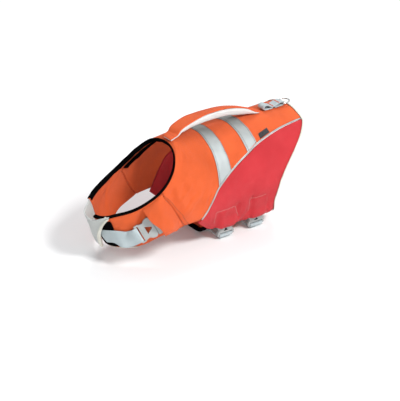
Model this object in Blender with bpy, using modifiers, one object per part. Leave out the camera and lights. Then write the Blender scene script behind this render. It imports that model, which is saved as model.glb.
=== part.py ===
"""Dog life jacket, empty, in the form it takes on a general four-legged wearer.

Metres, +Z up, +X along the spine from neck to tail, -Y the wearer's left.
Every cloth piece lies on one form: rings round the body, from the rear hem
(station 0) to the neck edge (station 8).  A place on the form is a station
and a turn, in degrees round from the spine, positive on the wearer's left.
The form's spine lies on the outer cloth: at the end all of it is raised by
the panels' wall, so that the origin is where the wearer's back carries it.
"""
import math

import bmesh
import bpy
import numpy as np
from mathutils import Matrix, Vector

MM = 0.001

# Driving dimensions
PANEL_WALL = 5.0 * MM        # outer cloth, thin foam and lining, quilted into one wall
YOKE_WALL = 3.0 * MM         # the unfoamed pieces round the chest
FLAP_WALL = 2.0 * MM
NARROW_REACH = 2.0 * MM      # how far the cream bindings cover the outer side
LAYER = 1.4 * MM             # one webbing, tape or cover
SEAM = 0.3 * MM              # between pieces that are sewn edge to edge or lie on each other
WEBBING_WIDTH = 25 * MM      # chest and belly webbing
BINDING_REACH = 5.0 * MM     # how far a folded binding covers its panel
BINDING_CLOTH = 1.0 * MM
PIPING_RADIUS = 1.35 * MM
HANDLE_WIDTH = 23 * MM
ROUNDNESS = 2.1              # 2 is an ellipse, more is squarer
STATION_LENGTH = 55 * MM     # about one station along the side
TURN_LENGTH = 1.4 * MM       # about one degree round the side

# The form, in mm: where each ring crosses the spine and the belly, and its half width
RINGS = (
    # station, top_x, top_z, bottom_x, bottom_z, half_width
    (0.0, 130, 0, 130, -172, 82),
    (1.0, 73, 0, 73, -180, 83),
    (2.0, 17, 0, 17, -183, 83),
    (3.0, -34, 0, -36, -184, 81),
    (4.0, -68, 0, -92, -184, 80),
    (5.0, -92, 0, -153, -182, 77),
    (6.0, -107, -0.5, -205, -172, 72),
    (7.0, -115, -3, -242, -148, 66),
    (8.0, -120, -6, -256, -111, 60),
)

# Edges and seams, as (turn, station) or (station, turn)
HEM = ((0, 0.0), (33, 0.0), (45, 0.18), (66, 0.7), (81, 1.08), (96, 1.34), (113, 1.44), (130, 1.36),
       (145, 1.2))
NECK = ((0, 7.9), (20, 7.6), (32, 7.35), (52, 7.1), (67, 7.2), (80, 7.4), (96, 7.8), (110, 8.02),
        (125, 8.25), (140, 8.38), (180, 8.4))
PIPING = ((0.0, 32), (0.5, 33), (0.9, 35), (1.3, 38.5), (1.9, 45), (2.3, 52), (2.9, 62), (3.8, 80),
          (4.4, 111))
SIDE_LOW = ((1.2, 141), (1.55, 139.5), (1.93, 138), (2.45, 137), (3.1, 138.5), (3.8, 128), (4.35, 113))
YOKE_LOW = ((110.5, 5.0), (122, 5.75), (138, 6.15), (154, 6.55), (172, 6.72), (180, 6.75))

# Seams and edges from their low end to the neck, as (height, station, turn) or (height, turn)
YOKE_SEAM = ((0.0, 5.0, 110.5), (0.3, 5.58, 96.5), (0.6, 6.27, 86.5), (1.0, 7.4, 80))
COVER_FRONT = ((0.0, 5.62, 119), (0.45, 6.62, 105), (1.0, 7.92, 105.5))
FLAP_END = ((0.0, 172), (0.04, 176.5), (0.12, 180.5), (0.23, 184), (0.4, 186.5), (0.58, 190.5),
            (0.8, 199), (0.9, 206.5), (1.0, 217))

# Largest folds, as ridges on the outer cloth: from one place to another, mm wide and high
FOLDS = (
    # station_a, turn_a, station_b, turn_b, half_width, height
    (6.3, 84, 5.1, 104, 7, 1.6),
    (5.9, 78, 4.8, 98, 6, -1.2),
    (5.4, 72, 4.4, 92, 8, 1.3),
    (7.0, 108, 6.4, 128, 6, 1.5),
    (3.6, 84, 3.3, 124, 8, 1.2),
    (2.4, 92, 2.4, 126, 9, -1.5),
    (1.7, 88, 1.5, 122, 9, 1.2),
    (4.3, 20, 4.2, 58, 10, -0.9),
)

# The left side panel hangs straight out over each belly buckle
BUCKLE_XS = (-43 * MM, 20.5 * MM)
BULGE_STATIONS = (3.12, 1.93)
BULGE_HALF_WIDTH = 0.32      # stations
BULGE_FADE, BULGE_HEM_FADE = 0.22, 0.6
BULGE_TURNS = (114, 139)     # from none to its full push
BULGE_PUSH = Vector((0, -14.5 * MM, 5.5 * MM))
BUCKLE_Y = -60 * MM
BUCKLE_LOW = -174.5 * MM

# Buckle for 25 mm webbing, in mm: x from the webbing's bar towards the body
BUCKLE_OUTLINE = ((0, 15), (1.2, 16.3), (6.5, 16.3), (10, 13.6), (13, 13.2), (17, 16.2), (21, 17.4),
                  (24.2, 16.4), (25.3, 14.3), (32, 12.5))
BUCKLE_SLOT = ((2.0, 12.9), (6.0, 12.9))
BUCKLE_WINDOW = ((8.8, 4.2), (14.0, 0.7))
CHEST_OUTLINE = ((0, 14.5), (1, 15.4), (6.5, 15.4), (9, 13.8), (15, 13.0), (17.5, 15.2), (20.5, 17.0),
                 (24.5, 17.7), (27.6, 16.4), (28.9, 14.3), (35.5, 12.5))
CHEST_WINDOW = ((15.2, 6.6), (25.6, 0.8))
PRONGS_HALF = 2.5 * MM
BODY_HALF = 3.8 * MM
BODY_START, BODY_LENGTH, BODY_HALF_WIDTH = 26 * MM, 11 * MM, 17 * MM
CHEST_BODY_START = 29.6 * MM
MOUTH_DEPTH, MOUTH_HALF_WIDTH = 6.8 * MM, 14.8 * MM
CHEST_BUCKLE = ((6.89, 125), (6.14, 96.5))   # station and turn of its bar and of its body's end
CHEST_BUCKLE_ROLL = 26                       # degrees that its lower side leans out

# Handle, in mm: height of the strap's top over the spine, depth of the pad under it, and the
# degrees that its left edge stands up
HANDLE = (
    # x, top_z, pad_depth, roll
    (-117.3, 2.0, 2.4, 0), (-111, 4.5, 2.5, 0), (-105.6, 5.6, 2.7, 0), (-103.9, 7.0, 3.2, -2),
    (-102.8, 9.6, 4.4, -3), (-100.4, 12.7, 6.0, -4), (-96.2, 15.7, 7.8, -5), (-90, 18.2, 9.2, -6),
    (-77, 22.6, 10.4, -6), (-60, 25.7, 12.1, 2), (-40, 27.6, 13.0, 9), (-20, 27.5, 12.8, 11),
    (0, 25.9, 11.9, 13), (20, 21.8, 11.6, 14), (40, 15.3, 9.0, 13), (52, 8.9, 4.2, 8),
    (60, 5.9, 2.5, 2), (66, 5.2, 2.2, 0),
)
HANDLE_FOLD, HANDLE_SKEW = -103.6 * MM, 0.15   # where it folds up at the front, and how slanted

# Ring and its strap: a flattened loop of webbing, tacked in the middle, in mm
RING_BAR = Vector((118.4 * MM, 0, 4.5 * MM))
RING_WIRE = 1.6 * MM
RING_HALF_WIDTH = 10.5 * MM
RING_LEG = 6.5 * MM
RING_BOW = 10.5 * MM
RING_LIFT = 3.0              # degrees over level, at rest
RING_STRAP_WIDTH = 17 * MM
RING_STRAP = (
    (97, 1.4), (90, 1.4), (82, 1.4), (78.5, 2.1), (77, 4.6), (77.8, 7.6), (80.8, 9.4), (84.6, 9.0),
    (89.5, 6.6), (93.5, 4.5), (98, 3.7), (103, 4.6), (108.5, 6.5), (113.5, 7.5), (118.4, 7.3),
    (120.6, 6.3), (121.2, 4.5), (120.6, 2.7), (118.4, 1.7), (113, 1.4), (107, 1.4), (101, 1.4),
)

# Black lining inside the neck: the stations that it spans, by turn
NECK_LINING = ((0, 4.6, 6.6), (40, 5.3, 6.3), (79, 6.3, 7.0))


def curve_through(rows, run_on=0.0):
    """A smooth line through rows of (at, values...), straight for run_on past its ends."""
    data = np.array(rows, float)
    at, values = data[:, 0], data[:, 1:]
    rise = np.diff(values, axis=0) / np.diff(at)[:, None]
    slope = np.zeros_like(values)
    slope[0], slope[-1] = rise[0], rise[-1]
    same = rise[:-1] * rise[1:] > 0
    both = np.where(same, rise[:-1] + rise[1:], 1.0)
    slope[1:-1] = np.where(same, 2 * rise[:-1] * rise[1:] / both, 0.0)

    def value(where):
        asked = min(max(where, at[0] - run_on), at[-1] + run_on)
        where = min(max(where, at[0]), at[-1])
        k = int(min(max(np.searchsorted(at, where) - 1, 0), len(at) - 2))
        length = at[k + 1] - at[k]
        t = (where - at[k]) / length
        ends = values[k] * (1 + 2 * t) * (1 - t) ** 2 + values[k + 1] * t * t * (3 - 2 * t)
        bend = slope[k] * t * (1 - t) ** 2 - slope[k + 1] * t * t * (1 - t)
        past = slope[0] if asked < where else slope[-1]
        return ends + length * bend + past * (asked - where)

    return value


ring_at = curve_through(RINGS, run_on=1.0)
hem_at = curve_through(HEM)
neck_at = curve_through(NECK)
piping_at = curve_through(PIPING)
side_low_at = curve_through(SIDE_LOW)
yoke_seam_at = curve_through(YOKE_SEAM)
cover_front_at = curve_through(COVER_FRONT)
yoke_low_at = curve_through(YOKE_LOW)
flap_end_at = curve_through(FLAP_END)


def folded(turn):
    """The turn counted from the spine, the same on both sides."""
    return abs((turn + 180) % 360 - 180)


def on_rings(station, turn):
    """A point of the bare form."""
    top_x, top_z, bottom_x, bottom_z, half_width = ring_at(station) * MM
    angle = math.radians(turn)
    up = math.copysign(abs(math.cos(angle)) ** (2 / ROUNDNESS), math.cos(angle))
    side = math.copysign(abs(math.sin(angle)) ** (2 / ROUNDNESS), math.sin(angle))
    return Vector(((top_x + bottom_x) / 2 + (top_x - bottom_x) / 2 * up,
                   -half_width * side,
                   (top_z + bottom_z) / 2 + (top_z - bottom_z) / 2 * up))


def slopes(station, turn):
    """How the form's point moves with the station and with the turn."""
    step, swing = 0.02, 0.6
    by_station = (on_rings(station + step, turn) - on_rings(station - step, turn)) / (2 * step)
    by_turn = (on_rings(station, turn + swing) - on_rings(station, turn - swing)) / (2 * swing)
    return by_station, by_turn


def fold_height(station, turn):
    """How far the largest folds lift the outer cloth."""
    turn = folded(turn)
    height = 0.0
    for station_a, turn_a, station_b, turn_b, half_width, ridge in FOLDS:
        run = np.array(((station_b - station_a) * STATION_LENGTH, (turn_b - turn_a) * TURN_LENGTH))
        here = np.array(((station - station_a) * STATION_LENGTH, (turn - turn_a) * TURN_LENGTH))
        share = float(here @ run / (run @ run))
        aside = here - run * min(max(share, 0.0), 1.0)
        fade = math.exp(-float(aside @ aside) / (half_width * MM) ** 2)
        height += ridge * MM * fade
    return height


def place_on_form(station, turn, out=0.0):
    """The point of the outer cloth at a station and turn, moved out along its normal."""
    by_station, by_turn = slopes(station, turn)
    normal = by_station.cross(by_turn).normalized()
    return on_rings(station, turn) + normal * (out + fold_height(station, turn))


def moved(station, turn, direction, distance):
    """The station and turn reached by going a distance along a direction on the form."""
    by_station, by_turn = slopes(station, turn)
    a, b, c = by_station.dot(by_station), by_station.dot(by_turn), by_turn.dot(by_turn)
    p, q = direction.dot(by_station) * distance, direction.dot(by_turn) * distance
    whole = a * c - b * b
    return station + (p * c - q * b) / whole, turn + (q * a - p * b) / whole


def beside(path, share, distance):
    """The station and turn at a distance to the left of a path of (station, turn) on the form."""
    station, turn = path(share)
    back, ahead = path(max(share - 0.01, 0)), path(min(share + 0.01, 1))
    run = place_on_form(*ahead) - place_on_form(*back)
    by_station, by_turn = slopes(station, turn)
    left = by_station.cross(by_turn).cross(run).normalized()
    return moved(station, turn, left, distance)


def material(name, colour, roughness, metallic=0.0):
    made = bpy.data.materials.get(name) or bpy.data.materials.new(name)
    made.use_nodes = True
    shader = made.node_tree.nodes["Principled BSDF"]
    shader.inputs["Base Color"].default_value = (*colour, 1)
    shader.inputs["Roughness"].default_value = roughness
    shader.inputs["Metallic"].default_value = metallic
    return made


ORANGE = dict(name="orange cloth", colour=(0.90, 0.18, 0.05), roughness=0.8)
RED = dict(name="red cloth", colour=(0.78, 0.06, 0.06), roughness=0.8)
BLACK = dict(name="black cloth", colour=(0.02, 0.02, 0.02), roughness=0.8)
CREAM = dict(name="cream binding", colour=(0.85, 0.84, 0.74), roughness=0.7)
PALE = dict(name="pale cloth", colour=(0.72, 0.75, 0.72), roughness=0.7)
SILVER = dict(name="reflective tape", colour=(0.60, 0.64, 0.64), roughness=0.35)
WEBBING = dict(name="grey webbing", colour=(0.55, 0.62, 0.64), roughness=0.7)
PLASTIC = dict(name="grey plastic", colour=(0.55, 0.57, 0.56), roughness=0.4)
METAL = dict(name="nickel wire", colour=(0.62, 0.62, 0.60), roughness=0.25, metallic=1.0)


def finished(name, body, look, smooth=35):
    """An object from a bmesh, in the jacket's collection."""
    bmesh.ops.recalc_face_normals(body, faces=body.faces)
    if body.calc_volume(signed=True) < 0:
        bmesh.ops.reverse_faces(body, faces=body.faces)
    mesh = bpy.data.meshes.new(name)
    body.to_mesh(mesh)
    body.free()
    mesh.shade_smooth()
    mesh.set_sharp_from_angle(angle=math.radians(smooth))
    made = bpy.data.objects.new(name, mesh)
    made.data.materials.append(material(**look))
    JACKET.objects.link(made)
    return made


def sheet(name, look, along, across, place):
    """A closed wall: a grid whose outer and inner points are place(a, b, layer), layer 0 and 1."""
    body = bmesh.new()
    bmesh.ops.create_grid(body, x_segments=along, y_segments=across, size=0.5)
    inner = bmesh.ops.extrude_face_region(body, geom=body.faces[:], use_keep_orig=True)
    inner = {v for v in inner["geom"] if isinstance(v, bmesh.types.BMVert)}
    for vert in body.verts:
        vert.co = place(vert.co.x + 0.5, vert.co.y + 0.5, 1 if vert in inner else 0)
    return finished(name, body, look)


def tube(name, look, along, profile_count, place):
    """A closed loft: sections of profile_count points, place(share, index), capped at both ends."""
    body = bmesh.new()
    bmesh.ops.create_grid(body, x_segments=along, y_segments=profile_count, size=0.5)
    for vert in body.verts:
        index = round((vert.co.y + 0.5) * profile_count) % profile_count
        vert.co = place(vert.co.x + 0.5, index)
    bmesh.ops.remove_doubles(body, verts=body.verts, dist=0.01 * MM)
    bmesh.ops.holes_fill(body, edges=[e for e in body.edges if e.is_boundary])
    return finished(name, body, look)


def mix(a, b, share):
    return a + (b - a) * share


def eased(share):
    share = min(max(share, 0.0), 1.0)
    return share * share * (3 - 2 * share)


def line_gap(line, station, distance):
    """How many degrees off a (station, turn) line a point lies at this distance from it."""
    turn = line(station)[0]
    by_station, by_turn = slopes(station, turn)
    step = 0.03
    station = min(station, LEG_STATION - step)
    slope = (line(station + step)[0] - line(station - step)[0]) / (2 * step)
    run = by_station + by_turn * slope
    return distance * run.length / by_turn.cross(run).length


def along_piping(share):
    """The station at a share of the piping's length, in closer steps where it turns down."""
    return LEG_STATION * (1 - (1 - share) ** 1.35)


SIDE_TUCK = 1.5              # degrees that the lower edge turns in under the body
PIPING_GAP = PIPING_RADIUS + SEAM
LEG_STATION = PIPING[-1][0]
PIPING_ROWS = 20
YOKE_ROWS = 8


def back_edge(station):
    """The back panel's edge along the piping."""
    return piping_at(station)[0] - line_gap(piping_at, station, PIPING_GAP)


def back_corner(row):
    """Where a row of the back panel ends: at the piping, then at the yoke seam."""
    if row <= PIPING_ROWS:
        station = along_piping(row / PIPING_ROWS)
        return station, back_edge(station)
    return beside(yoke_seam_at, (row - PIPING_ROWS - 1) / YOKE_ROWS, -SEAM / 2)


def make_back_panel():
    rows = PIPING_ROWS + 1 + YOKE_ROWS
    corners = [back_corner(row) for row in range(rows + 1)]
    neck_station, neck_turn = corners[-1]

    def place(a, b, layer):
        station, turn = corners[round(a * rows)]
        side = 2 * b - 1
        neck = neck_at(abs(side) * neck_turn)[0]
        station *= mix(1, neck / neck_station, a)
        wall = mix(PANEL_WALL, YOKE_WALL, eased((station - 5.7) / 0.9))
        return place_on_form(station, side * turn, -wall * layer)

    sheet("back_panel", ORANGE, rows, 20, place)


def bulge_share(station):
    """How much of the push over a belly buckle a station gets."""
    aside = min(abs(station - middle) for middle in BULGE_STATIONS) - BULGE_HALF_WIDTH
    return 1 - eased(aside / (BULGE_HEM_FADE if station < BULGE_STATIONS[1] else BULGE_FADE))


def bulge(station, turn):
    """How far the left side panel stands out over the belly buckles."""
    first, full = BULGE_TURNS
    return BULGE_PUSH * (bulge_share(station) * eased((turn - first) / (full - first)))


def make_side_panel(name, side):
    rear, front = SIDE_LOW[0][0], SIDE_LOW[-1][0]

    def turn_at(a, b):
        upper, lower = along_piping(a), mix(rear, front, a)
        top = piping_at(upper)[0] + line_gap(piping_at, upper, PIPING_GAP)
        return mix(top, side_low_at(lower)[0] + SIDE_TUCK, b)

    def place(a, b, layer):
        turn = turn_at(a, b)
        share = hem_at(turn_at(0, b))[0] / rear
        station = mix(along_piping(a), mix(rear, front, a), mix(share, b, a))
        return place_on_form(station, side * turn, -PANEL_WALL * layer) + bulge(station, side * turn)

    sheet(name, RED, PIPING_ROWS, 15, place)


def make_piping(name, side):
    data = bpy.data.curves.new(name, "CURVE")
    data.dimensions = "3D"
    data.bevel_depth = PIPING_RADIUS
    data.bevel_resolution = 2
    data.use_fill_caps = True
    spline = data.splines.new("POLY")
    steps = 26
    start = (NARROW_REACH + 2 * SEAM) / STATION_LENGTH
    spline.points.add(steps - 1)
    for k, point in enumerate(spline.points):
        station = start + along_piping(k / steps) * (1 - start / LEG_STATION)
        place = place_on_form(station, side * piping_at(station)[0], -0.5 * MM)
        point.co = (*place, 1)
    made = bpy.data.objects.new(name, data)
    made.data.materials.append(material(**SILVER))
    JACKET.objects.link(made)


def make_tape(name, rear_station, front_station):
    """A reflective tape sewn across the back, from piping to piping."""

    def place(a, b, layer):
        station = mix(rear_station, front_station, b)
        turn = (2 * a - 1) * (back_edge(station) - 0.6)
        return place_on_form(station, turn, SEAM + LAYER * 0.6 * (1 - layer))

    sheet(name, SILVER, 24, 3, place)


def make_yoke(name, side, last):
    """A side of the yoke, from its seam with the back panel round to the chest."""
    _, low_station, low_turn = YOKE_SEAM[0]
    _, high_station, high_turn = YOKE_SEAM[-1]

    def place(a, b, layer):
        low, high = mix(low_turn, last, a), mix(high_turn, last, a)
        station = mix(yoke_low_at(low)[0], neck_at(high)[0], b)
        turn = mix(low, high, b)
        seam_station, seam_turn = beside(yoke_seam_at, b, SEAM / 2)
        fade = (1 - a) ** 3
        station += fade * (seam_station - mix(low_station, high_station, b))
        turn += fade * (seam_turn - mix(low_turn, high_turn, b))
        return place_on_form(station, side * turn, -YOKE_WALL * layer)

    sheet(name, ORANGE, 18, YOKE_ROWS, place)


FLAP_SEAM = 140              # on the wearer's right, where the flap is sewn to the yoke
TONGUE_END = 178


def flap_turn(a, height):
    """The turn at a share of the flap's length: its end reaches furthest round at the neck."""
    start, level = FLAP_SEAM + SEAM / TURN_LENGTH, 168
    if a < 0.6:
        return mix(start, level, a / 0.6)
    return mix(level, flap_end_at(height)[0], (a - 0.6) / 0.4)


def flap_station(turn, height):
    """The flap's corner stands a little over the neck edge."""
    near = folded(turn)
    corner = 0.17 * eased((turn - 186) / 22) * height ** 4
    return mix(yoke_low_at(near)[0], neck_at(near)[0], height) + corner


def flap_out(turn):
    """The flap lies flush at its seam and passes over the tongue, patch and webbing."""
    return mix(0.0, 9.2 * MM, eased((turn - 144) / 24))


def make_chest_flap():
    """The pale flap that closes the chest from the wearer's right."""

    def place(a, b, layer):
        turn = flap_turn(a, b)
        return place_on_form(flap_station(turn, b), -turn, flap_out(turn) - FLAP_WALL * layer)

    sheet("chest_flap", PALE, 18, 12, place)


def make_loop_patch():
    """Black hook-and-loop tape on the end of the left yoke."""

    def place(a, b, layer):
        turn = mix(148, TONGUE_END - 1, a)
        station = mix(yoke_low_at(turn)[0] + 0.22, neck_at(turn)[0] - 0.2, b)
        return place_on_form(station, turn, 2 * SEAM + LAYER * (1 - layer))

    sheet("loop_patch", BLACK, 8, 5, place)


WEBBING_PATH = curve_through(((0.0, 7.50, 177), (0.35, 7.49, 162), (0.7, 7.38, 147), (1.0, 7.10, 135.5)))
WEBBING_OUT = 3.5 * SEAM + LAYER


def make_chest_webbing():
    """Webbing from under the flap, its end cut slanting, over the buckle's bar into its slot."""
    frame = chest_buckle_frame()
    over = PRONGS_HALF + SEAM + LAYER / 2
    wrap = ((-2.5 * MM, over, 90), (1.8 * MM, over, 90), (3.2 * MM, over - 0.9 * MM, 20),
            (3.5 * MM, -PRONGS_HALF / 2, 0))
    rows = 10 + len(wrap)

    def place(a, b, layer):
        row = round(a * rows)
        across, half = (b - 0.5) * WEBBING_WIDTH, LAYER * (0.5 - layer)
        if row <= 10:
            lean = math.radians(CHEST_BUCKLE_ROLL * eased((row - 4) / 6))
            cut = 0.22 * (1 - b) * (1 - row / 10) ** 2
            place = beside(WEBBING_PATH, row / 10 + cut, across * math.cos(lean))
            out = (WEBBING_WIDTH / 2 - across) * math.sin(lean)
            return place_on_form(*place, WEBBING_OUT + LAYER / 2 + out + half)
        along, out, tilt = wrap[row - 11]
        tilt = math.radians(tilt)
        return frame @ Vector((along + half * math.cos(tilt), across, out + half * math.sin(tilt)))

    sheet("chest_webbing", WEBBING, rows, 4, place)


def make_buckle_cover():
    """The folded strip over the buckle's body, free along its front edge."""

    def place(a, b, layer):
        height = mix(0.03, 0.95, b)
        back = beside(yoke_seam_at, height, 2 * SEAM)
        front = cover_front_at(height)
        station, turn = mix(back[0], front[0], a), mix(back[1], front[1], a)
        lift = eased(a * 2.2) * (1 - abs(2 * b - 1) ** 4) * mix(24, 14, b) * MM
        return place_on_form(station, turn, 2 * SEAM + lift + LAYER * (1 - layer))

    sheet("buckle_cover", ORANGE, 8, 8, place)


BELLY_OUT = -PANEL_WALL - BINDING_CLOTH - 5 * SEAM
BELLY_REAR = 1.5


def belly_front(turn):
    return mix(3.8, 3.6, eased((folded(turn) - 132) / 48))


def make_belly_panel():
    """The panel under the belly, tucked behind the lower edges of both side panels."""

    def place(a, b, layer):
        left = 133 + 8 * bulge_share(mix(BELLY_REAR, belly_front(140), b))
        turn = mix(left, 360 - 133, a)
        station = mix(BELLY_REAR, belly_front(turn), b)
        return place_on_form(station, turn, BELLY_OUT - YOKE_WALL * layer)

    sheet("belly_panel", ORANGE, 16, 14, place)


def no_shift(station, turn):
    return Vector()


def on_cloth(turn):
    return 0.0


def binding(name, look, along, edge, inward, wall, outer=BINDING_REACH, out=on_cloth, shift=no_shift):
    """Bias binding folded over an edge: edge(share) is a place on it, inward the side of its panel.

    wall(turn) is how thick the panel is there, outer how far the binding covers its outer side,
    and out(turn) how far over the form the panel lies.
    """
    gap, cloth, corner = 2.5 * SEAM, BINDING_CLOTH, 0.9 * MM
    reach, end = BINDING_REACH, -gap - cloth

    def place(share, index):
        station, turn = edge(share)
        back, ahead = edge(max(share - 0.01, 0)), edge(min(share + 0.01, 1))
        run = on_rings(*ahead) - on_rings(*back)
        by_station, by_turn = slopes(station, turn)
        across = by_station.cross(by_turn).cross(run).normalized() * inward
        under = -wall(turn) - gap
        distance, lift = (
            (outer, gap + cloth), (0.0, gap + cloth), (end, gap + cloth - corner),
            (end, under - cloth + corner), (0.0, under - cloth), (reach, under - cloth),
            (reach, under), (-gap, under), (-gap, gap), (outer, gap),
        )[index]
        there = moved(station, turn, across, distance)
        return place_on_form(*there, lift + out(there[1])) + shift(*there)

    return tube(name, look, along, 10, place)


def panel_wall(turn):
    return PANEL_WALL


def yoke_wall(turn):
    return YOKE_WALL


def flap_wall(turn):
    return FLAP_WALL


def flap_edge(share):
    """Down the flap's end from the neck, and back along its lower edge."""
    if share > 0.6:
        turn = mix(FLAP_SEAM + 5, flap_turn(1, 0), (1 - share) / 0.4)
        return yoke_low_at(folded(turn))[0], -turn
    height = 0.97 * (1 - share / 0.6)
    turn = flap_turn(1, height)
    return flap_station(turn, height), -turn


def make_bindings():
    last_side = SIDE_LOW[0][1] + SIDE_TUCK

    def hem(share):
        turn = mix(-last_side, last_side, share)
        return hem_at(abs(turn))[0], turn

    def neck(share):
        turn = mix(-FLAP_SEAM + 1, TONGUE_END - 1, share)
        return neck_at(abs(turn))[0], turn

    def tongue(share):
        turn = mix(142, TONGUE_END - 1, share)
        return yoke_low_at(turn)[0], turn

    def belly_out(turn):
        return BELLY_OUT

    def belly_ahead(share):
        turn = mix(135, 225, share)
        return belly_front(turn), turn

    def belly_behind(share):
        return BELLY_REAR, mix(135, 225, share)

    binding("hem_binding", CREAM, 56, hem, -1, panel_wall, NARROW_REACH, shift=bulge)
    binding("neck_binding", BLACK, 46, neck, 1, yoke_wall, outer=1.3 * MM)
    binding("flap_binding", CREAM, 28, flap_edge, -1, flap_wall, NARROW_REACH,
            lambda turn: flap_out(-turn))
    binding("tongue_binding", CREAM, 8, tongue, -1, yoke_wall, NARROW_REACH)
    binding("belly_binding_front", BLACK, 12, belly_ahead, 1, yoke_wall, out=belly_out)
    binding("belly_binding_rear", BLACK, 12, belly_behind, -1, yoke_wall, out=belly_out)


def make_neck_lining():
    """Black lining that shows inside the neck, close inside the back panel."""
    lining_at = curve_through(NECK_LINING)
    limit = NECK_LINING[-1][0]

    def place(a, b, layer):
        turn = mix(-limit, limit, a)
        station = mix(*lining_at(abs(turn)), b)
        return place_on_form(station, turn, -PANEL_WALL - 2 * SEAM - 0.8 * MM * layer)

    sheet("neck_lining", BLACK, 20, 3, place)


def make_label_tab():
    """A small bare woven tab, sewn beside the left piping."""

    def place(a, b, layer):
        station = mix(1.31, 1.70, a)
        turn = back_edge(station) - 0.5 - (1 - b) * 6.6
        return place_on_form(station, turn, SEAM + 0.6 * MM * (1 - layer))

    sheet("label_tab", BLACK, 4, 1, place)


def ribbon_frame(path, share):
    """A path's point, and the way across its upper side, in the XZ plane."""
    point, back, ahead = path(share), path(max(share - 0.01, 0)), path(min(share + 0.01, 1))
    run = Vector((ahead[0] - back[0], 0, ahead[1] - back[1])).normalized()
    return Vector((point[0] * MM, 0, point[1] * MM)), Vector((-run.z, 0, run.x))


def path_through(rows):
    """A path by share of its length through rows of (x, z, values...) in mm."""
    lengths = [0.0]
    for first, second in zip(rows, rows[1:]):
        lengths.append(lengths[-1] + math.dist(first[:2], second[:2]))
    return curve_through([(length / lengths[-1], *row) for length, row in zip(lengths, rows)])


HANDLE_STRAP = 2.2 * MM


def make_handle():
    """An orange strap with a pale padded underside, both sewn flat to the back at their ends."""
    path = path_through(HANDLE)

    def place_across(share, across, down, depth):
        """A point of the handle's section: its top leans with the roll, its underside stays level."""
        point, up = ribbon_frame(path, share)
        roll = math.radians(path(share)[3])
        lean = across * math.sin(roll) * (1 - down)
        off_fold = abs(point.x - HANDLE_FOLD)
        skew = -across * HANDLE_SKEW * (1 - eased(off_fold / (14 * MM)))
        return point + Vector((skew, across * math.cos(roll), 0)) - up * (lean + depth)

    def strap(a, b, layer):
        return place_across(a, (0.5 - b) * HANDLE_WIDTH, 0, HANDLE_STRAP * layer)

    def pad(share, index):
        half = HANDLE_WIDTH / 2
        across, down = (
            (-half, 0), (-half - 0.4 * MM, 0.4), (-half * 0.88, 0.82), (-half * 0.5, 1),
            (half * 0.5, 1), (half * 0.88, 0.82), (half + 0.4 * MM, 0.4), (half, 0),
        )[index]
        depth = path(share)[2] * MM
        return place_across(share, across, down, HANDLE_STRAP + SEAM + down * depth)

    sheet("handle_strap", ORANGE, 42, 1, strap)
    tube("handle_pad", PALE, 42, 8, pad)


def make_ring_strap():
    path = path_through(RING_STRAP)

    def place(a, b, layer):
        point, up = ribbon_frame(path, a)
        across = Vector((0, (0.5 - b) * RING_STRAP_WIDTH, 0))
        return point + across + up * LAYER * (0.5 - layer)

    sheet("ring_strap", WEBBING, 40, 1, place)


def make_ring():
    """A D of round wire, free to swing on its straight bar in the strap's end."""
    data = bpy.data.curves.new("d_ring", "CURVE")
    data.dimensions = "3D"
    data.bevel_depth = RING_WIRE
    data.bevel_resolution = 2
    half, corner = RING_HALF_WIDTH, 2.2 * MM
    points = []
    for k in range(3):
        angle = math.radians(180 + 45 * k)
        points.append((corner + corner * math.cos(angle), -half + corner + corner * math.sin(angle)))
    for k in range(11):
        angle = math.radians(-90 + 18 * k)
        points.append((RING_LEG + RING_BOW * math.cos(angle), half * math.sin(angle)))
    points += [(x, -y) for x, y in reversed(points[:3])]
    spline = data.splines.new("POLY")
    spline.points.add(len(points) - 1)
    for point, (x, y) in zip(spline.points, points):
        point.co = (x, y, 0, 1)
    spline.use_cyclic_u = True
    ring = bpy.data.objects.new("d_ring", data)
    ring.location = RING_BAR
    ring.rotation_euler = (0, math.radians(-RING_LIFT), 0)
    ring.data.materials.append(material(**METAL))
    JACKET.objects.link(ring)


def plate(name, look, outlines, half_thickness, frame):
    """A flat plate from outlines in mm, mirrored over the x axis, the first one its rim."""
    data = bpy.data.curves.new(name, "CURVE")
    data.dimensions = "2D"
    data.fill_mode = "BOTH"
    data.extrude = half_thickness
    for outline in outlines:
        points = list(outline) + [(x, -y) for x, y in reversed(outline)]
        spline = data.splines.new("POLY")
        spline.points.add(len(points) - 1)
        for point, (x, y) in zip(spline.points, points):
            point.co = (x * MM, y * MM, 0, 1)
        spline.use_cyclic_u = True
    made = bpy.data.objects.new(name, data)
    made.matrix_world = frame
    made.data.materials.append(material(**look))
    JACKET.objects.link(made)
    return made


def block(name, low, high, collection):
    body = bmesh.new()
    bmesh.ops.create_cube(body, size=1.0)
    for vert in body.verts:
        vert.co = [mix(a, b, c + 0.5) for a, b, c in zip(low, high, vert.co)]
    mesh = bpy.data.meshes.new(name)
    body.to_mesh(mesh)
    body.free()
    made = bpy.data.objects.new(name, mesh)
    collection.objects.link(made)
    return made


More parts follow.
